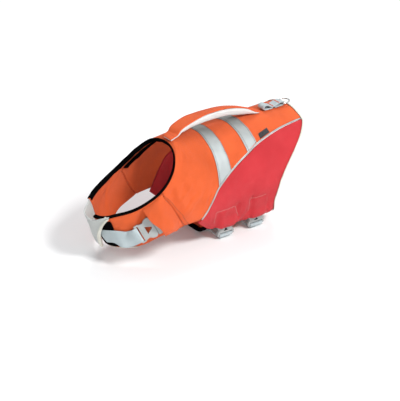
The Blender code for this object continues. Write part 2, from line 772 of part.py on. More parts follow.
def make_buckle(name, frame, outline, window, start):
    """A side-release buckle: the pronged half on the webbing, its end in the body's mouth."""
    plate(name + "_prongs", PLASTIC, [outline, BUCKLE_SLOT, window], PRONGS_HALF, frame)
    half, end = BODY_HALF_WIDTH, start + BODY_LENGTH
    body = block(name + "_body", (start, -half, -BODY_HALF), (end, half, BODY_HALF), JACKET)
    body.data.materials.append(material(**PLASTIC))
    body.matrix_world = frame
    rounded = body.modifiers.new("rounded", "BEVEL")
    rounded.width = 1.6 * MM
    rounded.segments = 2
    mouth = block(name + "_mouth",
                  (start - 5 * MM, -MOUTH_HALF_WIDTH, -PRONGS_HALF - 2 * SEAM),
                  (start + MOUTH_DEPTH, MOUTH_HALF_WIDTH, PRONGS_HALF + 2 * SEAM), CUTTERS)
    mouth.matrix_world = frame
    mouth.hide_render = True
    mouth.display_type = "WIRE"
    cut = body.modifiers.new("mouth", "BOOLEAN")
    cut.object = mouth
    body.data.shade_smooth()
    body.data.set_sharp_from_angle(angle=math.radians(40))


def frame_from(origin, along, out):
    """A matrix with x along, z out and its origin given."""
    across = out.cross(along).normalized()
    out = along.cross(across).normalized()
    axes = Matrix((along.normalized(), across, out)).transposed().to_4x4()
    return Matrix.Translation(origin) @ axes


def chest_buckle_frame():
    """The buckle lies as a straight bar across the round of the chest, clear of the yoke."""
    bar, end = CHEST_BUCKLE
    by_station, by_turn = slopes(*[mix(a, b, 0.4) for a, b in zip(bar, end)])
    along = (on_rings(*end) - on_rings(*bar)).normalized()
    frame = frame_from(on_rings(*bar), along, by_station.cross(by_turn))
    frame = frame @ Matrix.Rotation(math.radians(-CHEST_BUCKLE_ROLL), 4, "X")
    inverse, rise, end = frame.inverted(), 0.0, CHEST_BODY_START + BODY_LENGTH
    for station in np.arange(5.8, 8.2, 0.1):
        for turn in range(80, 142, 3):
            under = inverse @ place_on_form(station, turn)
            if -2 * MM < under.x < end + 2 * MM and abs(under.y) < BODY_HALF_WIDTH + MM:
                rise = max(rise, under.z)
    return frame @ Matrix.Translation((0, 0, rise + BODY_HALF + SEAM))


def make_buckles():
    make_buckle("chest_buckle", chest_buckle_frame(), CHEST_OUTLINE, CHEST_WINDOW, CHEST_BODY_START)
    for name, x in zip(("belly_buckle_front", "belly_buckle_rear"), BUCKLE_XS):
        frame = frame_from(Vector((x, BUCKLE_Y, BUCKLE_LOW)), Vector((0, 0, 1)), Vector((0, -1, 0)))
        make_buckle(name, frame, BUCKLE_OUTLINE, BUCKLE_WINDOW, BODY_START)


BELLY_STRAP_TURNS = (158, 172, 186, 200)
BELLY_STRAP_WRAP = (         # y from the buckle's middle and z from its end, in mm
    (2.8, 3.5), (-2.4, 3.5), (-3.5, 3.0), (-3.6, 0.6), (-2.9, -1.0), (0.5, -1.2), (8, -1.4), (15, -0.6),
)


def make_belly_strap(name, x, station):
    """Webbing round a belly buckle's bar and in to the belly panel, sewn down along it."""

    def sewn(turn, across, out):
        return place_on_form(station - across / STATION_LENGTH, turn, BELLY_OUT + 2.5 * SEAM + out)

    rows = [Vector((x, BUCKLE_Y + y * MM, BUCKLE_LOW + z * MM)) for y, z in BELLY_STRAP_WRAP]
    rows += [sewn(turn, 0, LAYER / 2) for turn in BELLY_STRAP_TURNS]
    last, free = len(rows) - 1, len(BELLY_STRAP_WRAP)

    def place(a, b, layer):
        row, across = round(a * last), (b - 0.5) * WEBBING_WIDTH
        if row >= free:
            return sewn(BELLY_STRAP_TURNS[row - free], across, LAYER * (1 - layer))
        run = (rows[row + 1] - rows[max(row - 1, 0)]) * Vector((0, 1, 1))
        under = Vector((0, run.z, -run.y)).normalized()
        return rows[row] + Vector((across, 0, 0)) + under * LAYER * (0.5 - layer)

    sheet(name, WEBBING, last, 2, place)


def main():
    for old in list(bpy.data.objects):
        bpy.data.objects.remove(old)
    bpy.context.scene.collection.children.link(JACKET)
    bpy.context.scene.collection.children.link(CUTTERS)
    make_back_panel()
    for name, side in (("left", 1), ("right", -1)):
        make_side_panel("side_panel_" + name, side)
        make_piping("piping_" + name, side)
    make_tape("tape_front", 3.13, 3.78)
    make_tape("tape_rear", 1.89, 2.33)
    make_yoke("yoke_left", 1, TONGUE_END)
    make_yoke("yoke_right", -1, FLAP_SEAM)
    make_chest_flap()
    make_loop_patch()
    make_chest_webbing()
    make_buckle_cover()
    make_belly_panel()
    make_bindings()
    make_neck_lining()
    make_label_tab()
    make_handle()
    make_ring_strap()
    make_ring()
    make_buckles()
    for name, x, station in zip(("belly_strap_front", "belly_strap_rear"), BUCKLE_XS, BULGE_STATIONS):
        make_belly_strap(name, x, station)
    for made in (*JACKET.objects, *CUTTERS.objects):
        made.location.z += PANEL_WALL


JACKET = bpy.data.collections.new("dog life jacket")
CUTTERS = bpy.data.collections.new("cutters")
main()
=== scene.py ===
"""A dog's life jacket, empty, in the form it takes on its wearer.

The pieces come in the order in which a maker would cut, sew and fasten them.
Lengths are in metres, and angles in degrees where they are called turns.
"""
import math

import bmesh
import bpy
import numpy as np
from mathutils import Matrix, Vector, noise
from mathutils.bvhtree import BVHTree
from mathutils.kdtree import KDTree


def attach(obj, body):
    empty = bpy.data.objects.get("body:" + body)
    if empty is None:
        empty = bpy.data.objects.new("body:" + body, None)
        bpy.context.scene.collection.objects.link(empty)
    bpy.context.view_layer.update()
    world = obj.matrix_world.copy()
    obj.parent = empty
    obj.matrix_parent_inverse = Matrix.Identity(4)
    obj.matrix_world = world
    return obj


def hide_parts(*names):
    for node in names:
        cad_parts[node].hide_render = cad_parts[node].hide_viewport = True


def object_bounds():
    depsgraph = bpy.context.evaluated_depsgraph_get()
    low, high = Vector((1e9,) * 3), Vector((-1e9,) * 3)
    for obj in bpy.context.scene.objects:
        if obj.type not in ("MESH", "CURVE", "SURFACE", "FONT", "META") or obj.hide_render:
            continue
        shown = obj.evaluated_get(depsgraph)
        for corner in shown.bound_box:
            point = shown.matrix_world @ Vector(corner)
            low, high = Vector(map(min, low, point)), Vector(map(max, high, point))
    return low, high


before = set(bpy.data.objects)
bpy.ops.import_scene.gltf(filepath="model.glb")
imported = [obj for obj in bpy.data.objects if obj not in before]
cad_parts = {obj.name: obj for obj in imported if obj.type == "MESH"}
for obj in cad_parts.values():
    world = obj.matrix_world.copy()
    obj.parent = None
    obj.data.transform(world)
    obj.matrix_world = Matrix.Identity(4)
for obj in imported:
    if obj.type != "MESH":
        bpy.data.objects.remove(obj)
cad_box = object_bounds()

# Studio: a pale seamless floor under the jacket, a large soft light over the wearer's left,
# a weaker one behind and above, a low fill from the front left, and pale surroundings.
scene = bpy.context.scene
scene.view_settings.view_transform = "Standard"
camera = bpy.data.objects.new("camera", bpy.data.cameras.new("camera"))
scene.collection.objects.link(camera)
scene.camera = camera
sight = Vector((-0.5421, -0.7353, 0.4067))
camera.location = Vector((0, 0, 0.005)) + 2.5 * sight
camera.rotation_mode = "QUATERNION"
camera.rotation_quaternion = sight.to_track_quat("Z", "Y")
camera.data.sensor_fit = "HORIZONTAL"
camera.data.sensor_width = 36
camera.data.lens = 135
camera.data.shift_x, camera.data.shift_y = -0.061, -0.199

world = scene.world or bpy.data.worlds.new("studio")
scene.world = world
world.use_nodes = True
world.node_tree.nodes["Background"].inputs["Color"].default_value = (0.95, 0.97, 1.0, 1)
world.node_tree.nodes["Background"].inputs["Strength"].default_value = 0.44


def softbox(name, place, aim, size, power):
    light = bpy.data.lights.new(name, "AREA")
    light.shape, light.size, light.energy = "SQUARE", size, power
    made = bpy.data.objects.new(name, light)
    made.location = place
    made.rotation_mode = "QUATERNION"
    made.rotation_quaternion = (Vector(place) - Vector(aim)).to_track_quat("Z", "Y")
    scene.collection.objects.link(made)


softbox("key_light", (0.5, -1.8, 1.8), (-0.05, 0, -0.06), 0.7, 64)
softbox("back_light", (0.9, 1.2, 2.0), (0, 0, 0), 1.0, 30)
softbox("low_fill", (-1.6, -1.7, 0.5), (0, 0, -0.1), 0.9, 18)


class Value:
    """A shader socket that Python's operators work on, as Math nodes."""

    def __init__(self, look, socket):
        self.look, self.socket = look, socket

    def math(self, operation, *others, first=None):
        terms = (self, *others) if first is None else (first, self)
        made = self.look.node("ShaderNodeMath", {"operation": operation}, dict(enumerate(terms)))
        return Value(self.look, made.outputs[0])

    def __add__(self, other):
        return self.math("ADD", other)

    __radd__ = __add__

    def __mul__(self, other):
        return self.math("MULTIPLY", other)

    __rmul__ = __mul__

    def __sub__(self, other):
        return self.math("SUBTRACT", other)

    def __rsub__(self, other):
        return self.math("SUBTRACT", first=other)


SHADER_NAMES = {"roughness": "Roughness", "metallic": "Metallic", "shine": "Specular IOR Level",
                "sheen": "Sheen Weight"}


class Look:
    """One finish: a Principled shader and the nodes that feed it."""

    def __init__(self, name, **fixed):
        self.material = bpy.data.materials.new(name)
        self.material.use_nodes = True
        self.tree = self.material.node_tree
        self.shader = self.tree.nodes["Principled BSDF"]
        for socket, value in fixed.items():
            self.shader.inputs[SHADER_NAMES[socket]].default_value = value

    def node(self, kind, settings=(), sockets=()):
        """Any node: its settings first, and then the values or links of its sockets."""
        made = self.tree.nodes.new(kind)
        for name, value in dict(settings).items():
            if name == "stops":
                for stop, (place, colour) in zip(made.color_ramp.elements, value):
                    stop.position, stop.color = place, (*colour, 1)
            else:
                setattr(made, name, value)
        for name, value in dict(sockets).items():
            if isinstance(value, Value):
                self.tree.links.new(value.socket, made.inputs[name])
            else:
                made.inputs[name].default_value = value
        return made

    def uv(self):
        """Along and across the cloth, in metres."""
        made = self.node("ShaderNodeUVMap", {"uv_map": "cloth"})
        parts = self.node("ShaderNodeSeparateXYZ", (), {0: Value(self, made.outputs[0])})
        return Value(self, parts.outputs[0]), Value(self, parts.outputs[1])

    def noise(self, scale, detail=2.0):
        place = Value(self, self.node("ShaderNodeTexCoord").outputs["Object"])
        made = self.node("ShaderNodeTexNoise", (), {"Vector": place, "Scale": scale, "Detail": detail})
        return Value(self, made.outputs["Fac"])

    def tint(self, factor, low, high):
        """Base colour from one to the other, by a factor from about 0.3 to 0.7."""
        ramp = self.node("ShaderNodeValToRGB", {"stops": ((0.3, low), (0.7, high))}, {0: factor})
        self.tree.links.new(ramp.outputs[0], self.shader.inputs["Base Color"])

    def relief(self, height, depth, strength=1.0):
        bump = self.node("ShaderNodeBump", (), {"Strength": strength, "Distance": depth, "Height": height})
        self.tree.links.new(bump.outputs[0], self.shader.inputs["Normal"])

    def gloss(self, roughness):
        self.tree.links.new(roughness.socket, self.shader.inputs["Roughness"])


floor_look = Look("pale floor", roughness=0.9)
floor_look.tint(floor_look.noise(3), (0.88, 0.88, 0.88), (0.90, 0.90, 0.90))
floor_mesh = bmesh.new()
bmesh.ops.create_grid(floor_mesh, x_segments=2, y_segments=2, size=6,
                      matrix=Matrix.Translation((0, 0, cad_box[0].z - 0.001)))
floor = bpy.data.objects.new("floor", bpy.data.meshes.new("floor"))
floor_mesh.to_mesh(floor.data)
floor_mesh.free()
floor.data.materials.append(floor_look.material)
scene.collection.objects.link(floor)

# Back panel: orange woven nylon over thin foam, in one piece from the hem to the neck and
# the yoke seams. Every cloth piece lies on the same round form, so the form comes first.
MM = 0.001
RINGS = np.array((            # station, top x, top z, bottom x, bottom z, half width, in mm
    (-1, 187, 0, 187, -164, 81), (0, 130, 0, 130, -172, 82), (1, 73, 0, 73, -180, 83),
    (2, 17, 0, 17, -183, 83), (3, -34, 0, -36, -184, 81), (4, -68, 0, -92, -184, 80),
    (5, -92, 0, -153, -182, 77), (6, -107, -0.5, -205, -172, 72), (7, -115, -3, -242, -148, 66),
    (8, -120, -6, -256, -111, 60), (9, -125, -9, -270, -74, 54),
), float)
SPINE_HEIGHT = 5 * MM         # of the form's level back over the frame's origin
ROUNDNESS = 2.1               # 2 is an ellipse, more is squarer
STATION_LENGTH, TURN_LENGTH = 55 * MM, 1.4 * MM


def on_form(station, turn):
    """Points of the form: stations run from the hem to the neck, turns from the spine."""
    station, turn = np.asarray(station, float), np.radians(np.asarray(turn, float))
    top_x, top_z, low_x, low_z, half = (
        np.interp(station, RINGS[:, 0], RINGS[:, k]) * MM for k in range(1, 6))
    up = np.sign(np.cos(turn)) * abs(np.cos(turn)) ** (2 / ROUNDNESS)
    side = np.sign(np.sin(turn)) * abs(np.sin(turn)) ** (2 / ROUNDNESS)
    return np.stack(((top_x + low_x) / 2 + (top_x - low_x) / 2 * up, -half * side,
                     (top_z + low_z) / 2 + (top_z - low_z) / 2 * up + SPINE_HEIGHT), -1)


def outward(station, turn):
    """The form's normals."""
    by_station = on_form(station + 0.1, turn) - on_form(station - 0.1, turn)
    by_turn = on_form(station, turn + 1.0) - on_form(station, turn - 1.0)
    normal = np.cross(by_station, by_turn)
    return normal / np.linalg.norm(normal, axis=-1, keepdims=True)


grid = np.array([(s, t) for s in np.arange(-0.2, 8.8, 0.1) for t in np.arange(-180, 180, 2.0)])
nearest = KDTree(len(grid))
for k, point in enumerate(on_form(grid[:, 0], grid[:, 1])):
    nearest.insert(point, k)
nearest.balance()


def cloth_place(points, under=False):
    """The station and turn nearest to each point; under counts turns on past the belly."""
    found = grid[[nearest.find(point)[1] for point in points]]
    station, turn = found[:, 0].copy(), found[:, 1].copy()
    for _ in range(2):
        miss = points - on_form(station, turn)
        by_station = (on_form(station + 0.05, turn) - on_form(station - 0.05, turn)) * 10
        by_turn = (on_form(station, turn + 0.5) - on_form(station, turn - 0.5))
        a, b, c = (by_station ** 2).sum(1), (by_station * by_turn).sum(1), (by_turn ** 2).sum(1)
        p, q = (by_station * miss).sum(1), (by_turn * miss).sum(1)
        whole = a * c - b * b + 1e-12
        station += np.clip((p * c - q * b) / whole, -0.1, 0.1)
        turn += np.clip((q * a - p * b) / whole, -2, 2)
    if under:
        turn = np.where(turn < 0, turn + 360, turn)
    return station, turn


# The soft folds and troughs of the worn cloth, and how far each lifts or sinks it
FOLDS = (   # station and turn of its two ends, half width and height in mm
    (6.55, 76, 5.55, 92, 5, -2.0), (6.2, 74, 5.1, 96, 6, 2.3), (5.75, 70, 4.75, 90, 5, -1.8),
    (5, 66, 4.35, 88, 8, 1.7), (4.6, 100, 4.45, 82, 5, -1.6), (5.3, 98, 5, 84, 5, 1.6),
    (5.35, 92, 4.9, 78, 3, -1.9), (5.0, 95, 4.7, 80, 3, 1.6), (4.75, 92, 4.5, 78, 3, -1.5),
    (5.7, 84, 5.3, 70, 3, 1.5), (4.3, 96, 4.2, 84, 3, -1.3),
    (7.5, 100, 6.9, 120, 4, 1.8), (7.65, 110, 6.9, 133, 4, -1.95), (6.9, 96, 6.2, 112, 5, 1.2),
    (3.66, 110, 3.56, 132, 4, -2.0), (3.42, 106, 3.4, 134, 4.5, 1.2), (2.88, 104, 2.78, 134, 4, -2.3),
    (2.62, 104, 2.55, 134, 4, 1.5), (2.32, 102, 2.28, 134, 4, -2.2), (1.72, 103, 1.66, 134, 4, -1.6),
    (1.5, 90, 1.42, 120, 6, 0.9), (3.2, 84, 2.7, 100, 9, 0.8), (4.1, 104, 3.9, 124, 6, 1.35),
    (5.4, 8, 5.0, 34, 7, -0.8), (4.5, 10, 4.2, 40, 8, 0.7), (2.7, 8, 2.8, 34, 8, -0.7),
    (1.2, 6, 1.0, 28, 7, 0.8), (0.4, -20, 0.5, 26, 9, -0.8), (0.9, 50, 0.8, 74, 8, -0.7),
    (6.4, -70, 5.5, -96, 7, 1.2), (5.9, -66, 5.0, -90, 6, -1.1), (5.2, -60, 4.4, -84, 8, 0.9),
    (7.4, -92, 6.7, -118, 6, 1.1), (7.0, -104, 6.3, -128, 5, -1.0), (3.7, -84, 3.4, -126, 8, 1.2),
    (2.8, -88, 2.5, -128, 8, -1.3), (2.0, -86, 1.8, -124, 7, 1.1), (1.5, -90, 1.4, -122, 7, -0.9),
    (5.2, -10, 4.9, -38, 8, 0.8), (2.7, -12, 2.6, -40, 9, -0.8), (1.3, -14, 1.1, -40, 8, 0.7),
    (3.6, 150, 3.4, 200, 8, 0.8), (2.6, 148, 2.5, 206, 9, -1.0),
    (7.6, -150, 7.0, -172, 6, 0.9), (7.1, -146, 6.9, -166, 6, -0.8),
)
# Rows of stitches, as station and turn; each pulls its cloth in a little
TAPE_EDGES = ((3.17, 65.0), (3.74, 77.5), (1.93, 43.5), (2.29, 49.5))
TAPE_ROWS = [((s, -t), (s, 0.0), (s, t)) for s, t in TAPE_EDGES]
BOX_ROWS = [((3.76, 106), (3.49, 104.7), (2.98, 105.2), (2.78, 121)),
            ((2.42, 103.4), (2.13, 102.4), (1.82, 102.2)),
            ((3.76, 106), (3.72, 122)), ((2.42, 103.4), (2.36, 120))]
YOKE_ROW = ((5.0, 110.5), (5.58, 96.5), (6.27, 86.5), (6.8, 83), (7.4, 80))
YOKE_ROWS = [[(s + d, side * t) for s, t in YOKE_ROW] for d in (0.07, -0.07) for side in (1, -1)]
PULLS = ((TAPE_ROWS, 0.35 * MM), (BOX_ROWS, 0.9 * MM), (YOKE_ROWS, 0.6 * MM))
PUCKER_WIDTH = 3 * MM
FOLD_WAVE, LONG_PUCKER, SHORT_PUCKER = 190, 331, 560   # radians for each metre along a row
FAR_ROUND = 60                                         # turns past which a fold isn't felt


def along_rows(station, turn, rows, half_width):
    """How near each place is to the rows, 1 on one and 0 far off, and how far along it."""
    share, along = np.zeros(len(station)), np.zeros(len(station))
    here = np.stack((station * STATION_LENGTH, turn * TURN_LENGTH), -1)
    for row in rows:
        ends = np.array(row, float) * (STATION_LENGTH, TURN_LENGTH)
        for first, last in zip(ends, ends[1:]):
            run = last - first
            part = np.clip((here - first) @ run / (run @ run), 0, 1)
            gap = np.linalg.norm(here - first - part[:, None] * run, axis=1)
            near = np.exp(-(gap / half_width) ** 2)
            along = np.where(near > share, part * np.linalg.norm(run), along)
            share = np.maximum(share, near)
    return share, along


def settled(points):
    """Points of the cloth moved by its folds, its seams' pull and its own unevenness."""
    station, turn = cloth_place(points)
    lift = np.zeros(len(points))
    for station_a, turn_a, station_b, turn_b, half_width, height in FOLDS:
        for wrap in (0, 360, -360):
            ends = (station_a, turn_a + wrap), (station_b, turn_b + wrap)
            if abs(turn - wrap - (turn_a + turn_b) / 2).min() > FAR_ROUND:
                continue
            near, along = along_rows(station, turn, [ends], half_width * MM)
            lift += near * height * MM * (1 + 0.25 * np.sin(along * FOLD_WAVE + station_a * 9))
    for rows, depth in PULLS:
        near, along = along_rows(station, turn, rows, PUCKER_WIDTH)
        lift -= near * depth * (1 + 0.5 * np.sin(along * SHORT_PUCKER) + 0.3 * np.sin(along * LONG_PUCKER))
    broad = [noise.noise((s * 1.7, t * 0.045, 3.0)) for s, t in zip(station, turn)]
    fine = [noise.noise((s * 4.1, t * 0.11, 8.0)) for s, t in zip(station, turn)]
    lift += np.array(broad) * 1.0 * MM + np.array(fine) * 0.6 * MM
    return points + outward(station, turn) * lift[:, None]


def worn(node, rounds=2, crisp=0.85, still=False):
    """A panel in the place of its solid: merged, rounded off and settled on the form.

    Its cut ends stay square: crisp is how sharp the slighter edges along it are.
    """
    body = bmesh.new()
    body.from_mesh(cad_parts[node].data)
    bmesh.ops.remove_doubles(body, verts=body.verts, dist=0.000002)
    bmesh.ops.join_triangles(body, faces=body.faces, angle_face_threshold=0.35, angle_shape_threshold=0.6)
    crease = body.edges.layers.float.new("crease_edge")
    corner = body.verts.layers.float.new("crease_vert")
    for edge in body.edges:
        bend = edge.calc_face_angle(0)
        edge[crease] = 0.9 if bend > 1.3 else crisp if bend > 0.7 else 0.0
    for vert in body.verts:
        if sum(edge[crease] > 0.6 for edge in vert.link_edges) > 2:
            vert[corner] = 1.0
    mesh = bpy.data.meshes.new(node)
    body.to_mesh(mesh)
    body.free()
    rough = bpy.data.objects.new(node, mesh)
    scene.collection.objects.link(rough)
    rounder = rough.modifiers.new("rounder", "SUBSURF")
    rounder.levels = rounder.render_levels = rounds
    ready = bpy.data.meshes.new_from_object(rough.evaluated_get(bpy.context.evaluated_depsgraph_get()))
    bpy.data.objects.remove(rough)
    if not still:
        points = np.array([v.co for v in ready.vertices], float)
        ready.vertices.foreach_set("co", settled(points).astype(np.float32).ravel())
    ready.shade_smooth()
    return ready


def cloth_map(mesh, under=False, flat=None):
    """A UV map in metres: round and along the form, or the two named axes of a flat piece."""
    points = np.array([v.co for v in mesh.vertices], float)
    if flat:
        pairs = points[:, ["xyz".index(axis) for axis in flat]]
    else:
        station, turn = cloth_place(points, under)
        pairs = np.stack((turn * TURN_LENGTH, station * STATION_LENGTH), -1)
    layer = mesh.uv_layers.new(name="cloth")
    corners = np.zeros(len(mesh.loops), np.int32)
    mesh.loops.foreach_get("vertex_index", corners)
    layer.data.foreach_set("uv", pairs[corners].astype(np.float32).ravel())


def dressed(node, look, slot, under=False, flat=None, body="jacket", **shape):
    """The finished piece for one solid: its worn form, its map, its finish and its place."""
    mesh = worn(node, **shape)
    cloth_map(mesh, under, flat)
    mesh.materials.clear()
    mesh.materials.append(look.material)
    piece = bpy.data.objects.new(node + "_cloth", mesh)
    scene.collection.objects.link(piece)
    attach(piece, body)
    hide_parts(node)
    return piece


def woven(name, dark, light, pitch, crumpled=0.5, **fixed):
    """Plain woven cloth: threads over and under, slightly slubbed, its dye a little uneven."""
    look = Look(name, **fixed)
    u, v = look.uv()
    threads = (u * (math.tau / pitch)).math("SINE") * (v * (math.tau / pitch)).math("SINE")
    slub, wear, crumple = look.noise(900, 3), look.noise(22, 4), look.noise(75, 2)
    look.tint(wear * 0.75 + slub * 0.25 + threads * 0.05, dark, light)
    look.relief(threads * 0.06 + slub * 0.06 + crumple * crumpled, 0.003, 0.8)
    look.gloss(0.62 + slub * 0.25)
    return look


orange = woven("orange woven nylon", (0.60, 0.090, 0.021), (0.76, 0.122, 0.030), 0.00075,
               shine=0.2, sheen=0.05)
back = dressed("back_panel", orange, "orange_cloth")


def cast(piece, places, height=0.03):
    """Where places of the form lie on a finished piece: points and normals."""
    tree = BVHTree.FromObject(piece, bpy.context.evaluated_depsgraph_get())
    rows = []
    for station, turn in places:
        start, normal = (Vector(f(np.array([station]), np.array([turn]))[0]) for f in (on_form, outward))
        point, up, _, _ = tree.ray_cast(start + normal * height, -normal, 2 * height)
        if point:
            rows.append((point, up))
    return rows


def filled(row, step=0.04):
    """Places all along a row of station and turn, no more than a small step apart."""
    places = []
    for (s0, t0), (s1, t1) in zip(row, row[1:]):
        length = math.hypot((s1 - s0) * STATION_LENGTH, (t1 - t0) * TURN_LENGTH)
        count = max(2, int(length / (step * STATION_LENGTH)))
        places += [(s0 + (s1 - s0) * k / count, t0 + (t1 - t0) * k / count) for k in range(count)]
    return places + [row[-1]]


def stitched(name, rows, look, pitch=0.0034, length=0.0025, width=0.00042, body="jacket"):
    """Rows of thread: rows are lists of points and normals on the cloth."""
    thread = bmesh.new()
    for row in rows:
        gone, due = 0.0, pitch / 2
        for (first, up), (last, _) in zip(row, row[1:]):
            run = last - first
            if run.length > 0.02:
                gone, due = 0.0, pitch / 2
                continue
            while gone + run.length >= due:
                ahead = run.normalized()
                side = up.cross(ahead).normalized()
                top = ahead.cross(side)
                place = first + ahead * (due - gone) + top * width * 0.35
                turn = Matrix((ahead * length / 2, side * width, top * width)).transposed().to_4x4()
                lie = Matrix.Translation(place) @ turn @ Matrix.Rotation(math.pi / 2, 4, "Y")
                bmesh.ops.create_uvsphere(thread, u_segments=6, v_segments=5, radius=1, matrix=lie)
                due += pitch
            gone += run.length
    bmesh.ops.recalc_face_normals(thread, faces=thread.faces)
    mesh = bpy.data.meshes.new(name)
    thread.to_mesh(mesh)
    thread.free()
    mesh.shade_smooth()
    mesh.materials.append(look.material)
    piece = bpy.data.objects.new(name, mesh)
    scene.collection.objects.link(piece)
    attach(piece, body)
    return piece


def spun(name, dark, light):
    """Spun sewing thread."""
    look = Look(name, roughness=0.7)
    look.tint(look.noise(2500, 2), dark, light)
    return look


seam_thread = spun("dark brown thread", (0.10, 0.030, 0.018), (0.17, 0.05, 0.03))
stitched("back_seam_stitches",
         [cast(back, filled([(s - 0.14, t) for s, t in row])) for row in YOKE_ROWS[2:]],
         seam_thread)

# Side panels: red woven nylon over the same foam, sewn to the back along the piping. Boxes
# of stitching on the left one hold the belly buckles' webbing behind it.
red = woven("red woven nylon", (0.46, 0.022, 0.029), (0.57, 0.034, 0.042), 0.00075,
            shine=0.2, sheen=0.05)
left_side = dressed("side_panel_left", red, "red_cloth")
right_side = dressed("side_panel_right", red, "red_cloth")
box_thread = spun("grey pink thread", (0.44, 0.19, 0.18), (0.58, 0.28, 0.26))
stitched("strap_box_stitches", [cast(left_side, filled(row)) for row in BOX_ROWS], box_thread)

# Piping: a thin cord wrapped in a bias strip of grey reflective cloth, caught in the long
# seam between the back panel and each side panel.
silver = Look("grey reflective cloth", metallic=0.35)
silver.tint(silver.noise(60, 3), (0.30, 0.32, 0.32), (0.42, 0.45, 0.45))
silver_grain = silver.noise(2600, 2)
silver.gloss(0.38 + silver_grain * 0.2)
silver.relief(silver_grain, 0.0001, 0.5)
for side in ("left", "right"):
    dressed("piping_" + side, silver, "reflective_tape", crisp=0.0)

# Two reflective tapes across the back, 25 mm wide, edge-stitched down and ending under the
# piping. Their face is a coat of fine beads on grey cloth.
tape = Look("grey reflective tape", metallic=0.3)
tape_u, _ = tape.uv()
beads, soil = tape.noise(1900, 2), tape.noise(35, 3)
# Painted shade: the tape darkens towards the spine, under the handle; soil adds random soiling and beads the
# grain.
tape_painted_shade_and_soil = tape_u.math("ABSOLUTE") * 9 + soil * 0.5 + beads * 0.1 - 0.05
tape.tint(tape_painted_shade_and_soil, (0.22, 0.225, 0.215), (0.37, 0.40, 0.40))
tape.gloss(0.48 + beads * 0.22)
tape.relief(beads * 0.6 + (tape_u * (math.tau / 0.0012)).math("SINE") * 0.2, 0.0001, 0.5)
edge_thread = spun("charcoal thread", (0.06, 0.055, 0.055), (0.12, 0.11, 0.11))
for name, rows, size in (("tape_front", TAPE_ROWS[:2], (0.205, 0.025)),
                         ("tape_rear", TAPE_ROWS[2:], (0.138, 0.025))):
    piece = dressed(name, tape, "reflective_tape")
    stitched(name + "_stitches", [cast(piece, filled(row)) for row in rows], edge_thread)

# Yoke: two pieces of the orange cloth without foam, sewn to the back panel at the shoulder
# seams and reaching round under the neck. Their seams are topstitched in dark thread.
left_yoke = dressed("yoke_left", orange, "orange_cloth")
right_yoke = dressed("yoke_right", orange, "orange_cloth")
stitched("yoke_seam_stitches",
         [cast(right_yoke, filled([(s + 0.14, t) for s, t in YOKE_ROWS[3]]))] +
         [cast(left_yoke, filled([(s + 0.14, t) for s, t in YOKE_ROWS[2]]))],
         seam_thread)

# Neck: a facing of black woven lining, laid inside the top of the neck, and black bias
# binding that is folded over the whole neck edge and sewn through.
black = woven("black woven lining", (0.0010, 0.0010, 0.0012), (0.0035, 0.0035, 0.004), 0.0006, shine=0.0)
lining = dressed("neck_lining", black, "black_cloth")
neck = dressed("neck_binding", black, "black_cloth", crisp=0.3)

# Hem: cream grosgrain ribbon, folded over the cut edges of the back and side panels in one
# run from belly to belly.
cream = Look("cream grosgrain", sheen=0.2)
cream_u, _ = cream.uv()
ribs = (cream_u * (math.tau / 0.0011)).math("SINE")
cream.tint(cream.noise(40, 4) * 0.9 + ribs * 0.06, (0.55, 0.54, 0.46), (0.66, 0.65, 0.57))
cream.relief(ribs, 0.0002, 0.6)
cream.gloss(0.6 + cream.noise(300, 2) * 0.25)
hem = dressed("hem_binding", cream, "cream_binding", crisp=0.3)

# Label: a small bare tab of charcoal ribbon, lying on the back panel with one end caught in
# the left piping's seam.
ribbon = woven("charcoal ribbon", (0.018, 0.016, 0.018), (0.045, 0.042, 0.045), 0.0005, shine=0.2, sheen=0.2)
label = dressed("label_tab", ribbon, "black_cloth", crisp=0.3)

# Handle: an orange strap from behind the neck to the rump, both ends sewn flat, with a soft
# white pad under the grip.
strap = dressed("handle_strap", orange, "orange_cloth", flat="xy", still=True)
white = woven("white padded knit", (0.58, 0.58, 0.56), (0.68, 0.68, 0.67), 0.0009, sheen=0.3)


def evaluated(thing):
    return bpy.data.meshes.new_from_object(thing.evaluated_get(bpy.context.evaluated_depsgraph_get()))


def cushion(node, look, body="jacket", voxel=0.0012, cap=0.0014, wide=1.1):
    """A soft pad in the place of its solid: a little wider, and swollen by its filling."""
    soft = bpy.data.objects.new(node + "_cushion", worn(node, rounds=1, crisp=0.2, still=True))
    scene.collection.objects.link(soft)
    skin = soft.modifiers.new("skin", "REMESH")
    skin.mode, skin.voxel_size = "VOXEL", voxel
    mesh = evaluated(soft)
    soft.modifiers.clear()
    points = np.array([v.co for v in mesh.vertices], float) * (1, wide, 1)
    mesh.vertices.foreach_set("co", points.astype(np.float32).ravel())
    soft.data = mesh
    cloth = soft.modifiers.new("filling", "CLOTH")
    cloth.settings.quality, cloth.settings.mass = 6, 0.002
    cloth.settings.use_pressure, cloth.settings.uniform_pressure_force = True, 4
    cloth.settings.effector_weights.gravity = 0
    for step in range(1, 21):
        scene.frame_set(step)
    swollen = np.array([v.co for v in evaluated(soft).vertices], float)
    soft.modifiers.clear()
    scene.frame_set(1)
    move = swollen - points
    far = np.linalg.norm(move, axis=1, keepdims=True)
    points += move * np.minimum(1, cap / np.maximum(far, 1e-9))
    mesh.vertices.foreach_set("co", points.astype(np.float32).ravel())
    rounder = soft.modifiers.new("rounder", "SUBSURF")
    rounder.levels = rounder.render_levels = 1
    ready = evaluated(soft)
    soft.modifiers.clear()
    soft.data = ready
    ready.shade_smooth()
    cloth_map(ready, flat="xy")
    ready.materials.clear()
    ready.materials.append(look.material)
    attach(soft, body)
    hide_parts(node)
    return soft


pad = cushion("handle_pad", white)


